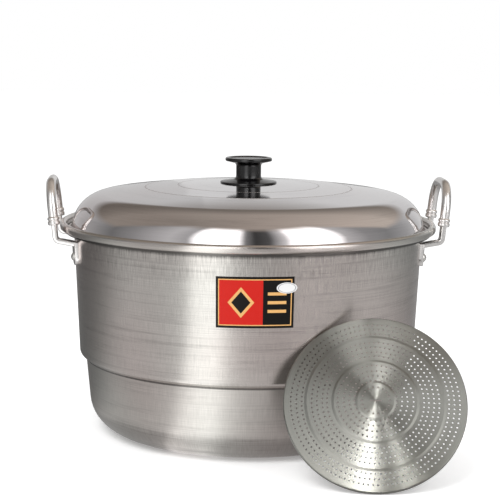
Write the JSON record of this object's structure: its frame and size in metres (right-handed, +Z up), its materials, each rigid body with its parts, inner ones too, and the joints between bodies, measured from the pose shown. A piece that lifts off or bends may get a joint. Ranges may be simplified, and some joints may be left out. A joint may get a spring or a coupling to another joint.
{
  "type": "steamer pot",
  "caption": "Stepped spun pot with loop handles, a domed lid, a perforated steamer plate on its inner step and a smaller plate leaning in front",
  "frame": {"origin": "centre of the flat base, on the surface that the pot stands on", "axes": "+Z up along the pot's axis, +X towards the right handle, -Y towards the label at the front"},
  "size_m": [0.4268, 0.4649, 0.2917],
  "materials": {
    "spun_aluminium": "spun, satin",
    "polished_aluminium": "polished by turning",
    "black_plastic": "glossy",
    "insert_brass": "turned",
    "fixing_steel": "zinc plated",
    "handle_aluminium": "satin, cast",
    "rivet_aluminium": "as headed",
    "plate_aluminium": "pressed, satin",
    "label_film": "printed film",
    "sticker_paper": "paper"
  },
  "bodies": {
    "pot": {"pot_body": "spun_aluminium", "right_handle": "handle_aluminium", "left_handle": "handle_aluminium", "right_rivets": "rivet_aluminium", "left_rivets": "rivet_aluminium", "right_rivet_washers": "rivet_aluminium", "left_rivet_washers": "rivet_aluminium", "front_label": "label_film", "size_sticker": "sticker_paper"},
    "inner_plate": {"steamer_plate": "plate_aluminium"},
    "lid": {"lid_shell": "polished_aluminium", "lid_knob": "black_plastic", "knob_insert": "insert_brass", "knob_washer": "fixing_steel", "knob_screw": "fixing_steel"},
    "leaning_plate": {"front_plate": "plate_aluminium"}
  },
  "joints": [
    {"name": "plate_lift", "type": "slide", "parent": "pot", "child": "inner_plate", "axis": [0, 0, 1], "range_m": [0, 0.3]},
    {"name": "lid_lift", "type": "slide", "parent": "inner_plate", "child": "lid", "axis": [0, 0, 1], "range_m": [0, 0.3]},
    {"name": "front_plate_lift", "type": "slide", "parent": "pot", "child": "leaning_plate", "axis": [-0.0731, -0.8355, 0.5446], "range_m": [0, 0.2]}
  ]
}
